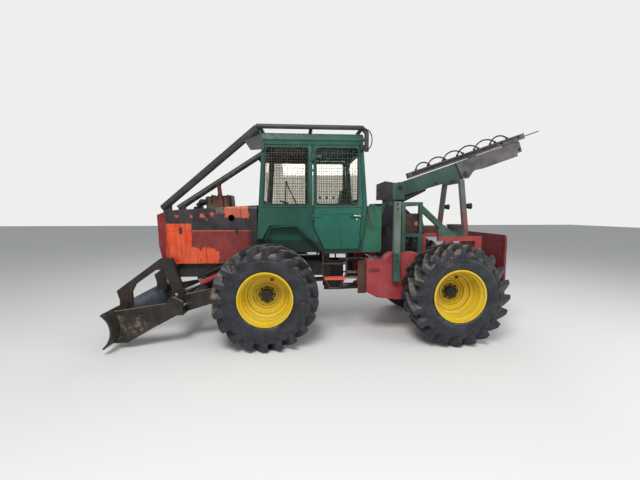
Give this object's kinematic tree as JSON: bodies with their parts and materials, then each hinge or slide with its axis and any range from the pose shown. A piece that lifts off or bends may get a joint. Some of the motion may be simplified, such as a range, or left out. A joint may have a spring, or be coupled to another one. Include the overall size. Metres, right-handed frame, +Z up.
{
  "type": "articulated forestry skidder",
  "caption": "Articulated forestry skidder with front blade, mesh-guarded cab, winch tower and a folded log crane with sliding jib",
  "frame": {"origin": "middle of the bounding box in X and Y, on the ground under the tyres", "axes": "+X forward towards the blade, +Y to the machine's left, +Z up"},
  "size_m": [6.3366, 2.144, 3.108],
  "materials": {
    "weathered_red_paint": "faded, chipped paint with rust and mud",
    "dark_green_paint": "faded satin paint with scratches",
    "dark_frame_paint": "worn dark paint, oily and dusty",
    "olive_steel": "bare rusty steel caked with mud",
    "bare_steel": "worn grey-brown steel",
    "chrome_rod": "polished, lightly dirty",
    "tyre_rubber": "matt rubber with dried mud",
    "yellow_rim_paint": "faded satin paint with mud",
    "window_glass": "clear, dusty",
    "seat_cover": "worn dark cloth",
    "hose_rubber": "satin black",
    "orange_step_paint": "bright satin paint, scuffed",
    "rusty_drum": "rusty pinkish steel"
  },
  "bodies": {
    "front_frame": {"front_chassis": "dark_frame_paint", "front_axle": "dark_frame_paint", "engine_block": "dark_frame_paint", "bonnet_top": "weathered_red_paint", "bonnet_sides": "weathered_red_paint", "bonnet_front": "weathered_red_paint", "engine_pipes": "olive_steel", "cab_lower": "dark_green_paint", "cab_frame": "dark_green_paint", "cab_roof": "dark_green_paint", "cab_glass": "window_glass", "window_guards": "bare_steel", "seat": "seat_cover", "cab_controls": "dark_frame_paint", "roof_guard": "dark_frame_paint", "steps": "orange_step_paint", "side_tanks": "dark_green_paint"},
    "left_door": {"door_left": "dark_green_paint", "door_glass_left": "window_glass"},
    "right_door": {"door_right": "dark_green_paint", "door_glass_right": "window_glass"},
    "blade_assembly": {"blade": "olive_steel", "blade_arms": "dark_frame_paint"},
    "lift_barrels": {"blade_barrels": "weathered_red_paint"},
    "lift_rods": {"blade_rods": "chrome_rod"},
    "rear_frame": {"rear_chassis": "weathered_red_paint", "rear_axle": "dark_frame_paint", "side_boxes": "weathered_red_paint", "tail_plate": "weathered_red_paint", "winch_tower": "dark_green_paint", "boom_rest": "bare_steel"},
    "winch": {"winch_drum": "rusty_drum"},
    "column": {"crane_column": "dark_frame_paint"},
    "boom": {"crane_boom": "dark_green_paint"},
    "boom_cylinder": {"crane_barrel": "dark_frame_paint"},
    "boom_rod": {"crane_rod": "chrome_rod"},
    "jib_arm": {"jib": "bare_steel"},
    "sliding_jib": {"jib_beam": "bare_steel", "beam_hoses": "hose_rubber"},
    "ram_barrel_left": {"steer_barrel_left": "dark_frame_paint"},
    "ram_barrel_right": {"steer_barrel_right": "dark_frame_paint"},
    "ram_rod_left": {"steer_rod_left": "chrome_rod"},
    "ram_rod_right": {"steer_rod_right": "chrome_rod"},
    "wheel_front_left": {"tyre_front_left": "tyre_rubber", "rim_front_left": "yellow_rim_paint"},
    "wheel_front_right": {"tyre_front_right": "tyre_rubber", "rim_front_right": "yellow_rim_paint"},
    "wheel_rear_left": {"tyre_rear_left": "tyre_rubber", "rim_rear_left": "yellow_rim_paint"},
    "wheel_rear_right": {"tyre_rear_right": "tyre_rubber", "rim_rear_right": "yellow_rim_paint"}
  },
  "joints": [
    {"name": "roll_front_left", "type": "hinge", "parent": "front_frame", "child": "wheel_front_left", "pos_m": [1.13333, 0.855, 0.69], "axis": [0, 1, 0], "continuous": true},
    {"name": "roll_front_right", "type": "hinge", "parent": "front_frame", "child": "wheel_front_right", "pos_m": [1.13333, -0.855, 0.69], "axis": [0, 1, 0], "continuous": true},
    {"name": "roll_rear_left", "type": "hinge", "parent": "rear_frame", "child": "wheel_rear_left", "pos_m": [-1.41567, 0.855, 0.69], "axis": [0, 1, 0], "continuous": true},
    {"name": "roll_rear_right", "type": "hinge", "parent": "rear_frame", "child": "wheel_rear_right", "pos_m": [-1.41567, -0.855, 0.69], "axis": [0, 1, 0], "continuous": true},
    {"name": "articulation", "type": "hinge", "parent": "front_frame", "child": "rear_frame", "pos_m": [-0.26667, 0, 0.83], "axis": [0, 0, 1], "range_deg": [-35, 35]},
    {"name": "door_left", "type": "hinge", "parent": "front_frame", "child": "left_door", "pos_m": [0.50833, 0.718, 1.985], "axis": [0, 0, -1], "range_deg": [0, 95]},
    {"name": "door_right", "type": "hinge", "parent": "front_frame", "child": "right_door", "pos_m": [0.50833, -0.718, 1.985], "axis": [0, 0, 1], "range_deg": [0, 95]},
    {"name": "blade_lift", "type": "hinge", "parent": "front_frame", "child": "blade_assembly", "pos_m": [1.51333, 0, 0.74], "axis": [0, -1, 0], "range_deg": [-8, 20]},
    {"name": "lift_barrel_swing", "type": "hinge", "parent": "front_frame", "child": "lift_barrels", "pos_m": [1.58333, 0, 1.02], "axis": [0, -1, 0], "range_deg": [-8.06, 20]},
    {"name": "lift_rod_stroke", "type": "slide", "parent": "lift_barrels", "child": "lift_rods", "axis": [0.9162, 0, -0.4008], "range_m": [-0.1, 0.042]},
    {"name": "crane_slew", "type": "hinge", "parent": "rear_frame", "child": "column", "pos_m": [-0.73167, 0, 1.76], "axis": [0, 0, -1], "range_deg": [-100, 100]},
    {"name": "boom_lift", "type": "hinge", "parent": "column", "child": "boom", "pos_m": [-0.87667, 0, 2.18], "axis": [0, 1, 0], "range_deg": [0, 50]},
    {"name": "boom_cylinder_swing", "type": "hinge", "parent": "column", "child": "boom_cylinder", "pos_m": [-0.91667, 0, 1.985], "axis": [0, 1, 0], "range_deg": [-0.1, 42.36]},
    {"name": "boom_rod_stroke", "type": "slide", "parent": "boom_cylinder", "child": "boom_rod", "axis": [-0.8964, 0, 0.4433], "range_m": [-0.001, 0.145]},
    {"name": "jib_tilt", "type": "hinge", "parent": "boom", "child": "jib_arm", "pos_m": [-1.92287, 0, 2.39746], "axis": [0, -1, 0], "range_deg": [0, 75]},
    {"name": "jib_extension", "type": "slide", "parent": "jib_arm", "child": "sliding_jib", "axis": [-0.9455, 0, 0.3256], "range_m": [0, 0.5]},
    {"name": "winch_turn", "type": "hinge", "parent": "rear_frame", "child": "winch", "pos_m": [-1.04167, 0, 1.63], "axis": [0, 1, 0], "continuous": true},
    {"name": "ram_swing_left", "type": "hinge", "parent": "front_frame", "child": "ram_barrel_left", "pos_m": [0.58333, 0.335, 0.8], "axis": [0, 0, 1], "range_deg": [-1.5, 1.5]},
    {"name": "ram_stroke_left", "type": "slide", "parent": "ram_barrel_left", "child": "ram_rod_left", "axis": [-0.9919, -0.1267, 0], "range_m": [-0.135, 0.135]},
    {"name": "ram_swing_right", "type": "hinge", "parent": "front_frame", "child": "ram_barrel_right", "pos_m": [0.58333, -0.335, 0.8], "axis": [0, 0, 1], "range_deg": [-1.5, 1.5]},
    {"name": "ram_stroke_right", "type": "slide", "parent": "ram_barrel_right", "child": "ram_rod_right", "axis": [-0.9919, 0.1267, 0], "range_m": [-0.135, 0.135]}
  ],
  "couplings": [
    {"joint": "lift_barrel_swing", "follows": "blade_lift", "ratio": 0.9948},
    {"joint": "lift_rod_stroke", "follows": "blade_lift", "m_per_rad": -0.2802},
    {"joint": "boom_cylinder_swing", "follows": "boom_lift", "ratio": 0.8452},
    {"joint": "boom_rod_stroke", "follows": "boom_lift", "m_per_rad": 0.1645},
    {"joint": "ram_swing_left", "follows": "articulation", "ratio": 0.023},
    {"joint": "ram_stroke_left", "follows": "articulation", "m_per_rad": 0.2155},
    {"joint": "ram_swing_right", "follows": "articulation", "ratio": 0.023},
    {"joint": "ram_stroke_right", "follows": "articulation", "m_per_rad": -0.2155}
  ]
}
